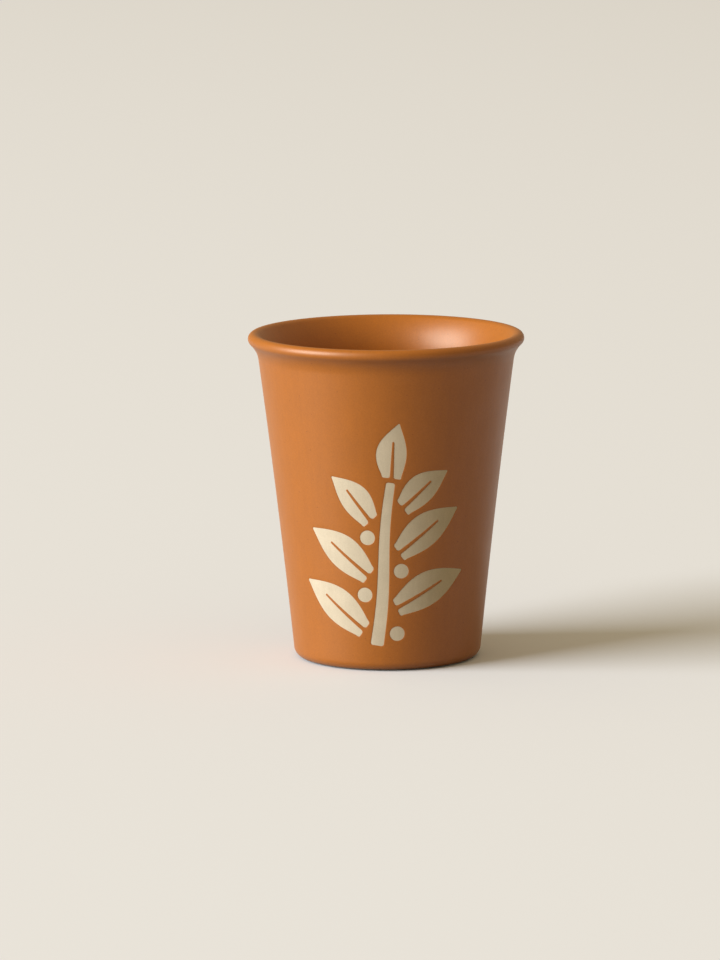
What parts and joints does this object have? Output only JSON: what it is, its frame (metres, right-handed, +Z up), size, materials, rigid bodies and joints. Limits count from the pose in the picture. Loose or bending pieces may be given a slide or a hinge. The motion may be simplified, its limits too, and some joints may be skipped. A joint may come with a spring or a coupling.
{
  "type": "espresso cup",
  "caption": "Small handleless stoneware espresso cup: tapered wall, rolled lip, satin terracotta glaze inside and out, and a painted cream coffee sprig on the front.",
  "frame": {"origin": "middle of the foot ring, on the surface that the cup stands on", "axes": "+Z up along the axis of the cup, -Y towards the decorated front, +X to the right seen from the front"},
  "size_m": [0.06, 0.06, 0.0712],
  "materials": {
    "stoneware": "dry, unglazed",
    "terracotta_glaze": "satin",
    "cream_slip": "matte"
  },
  "bodies": {
    "root": {"stoneware_body": "stoneware", "glaze_coat": "terracotta_glaze", "base_glaze": "terracotta_glaze", "slip_stem": "cream_slip", "slip_tip_leaf": "cream_slip", "slip_leaf_lower_left": "cream_slip", "slip_leaf_lower_right": "cream_slip", "slip_leaf_middle_left": "cream_slip", "slip_leaf_middle_right": "cream_slip", "slip_leaf_upper_left": "cream_slip", "slip_leaf_upper_right": "cream_slip", "slip_berry_lower_left": "cream_slip", "slip_berry_lower_right": "cream_slip", "slip_berry_middle_left": "cream_slip", "slip_berry_middle_right": "cream_slip"}
  },
  "joints": []
}
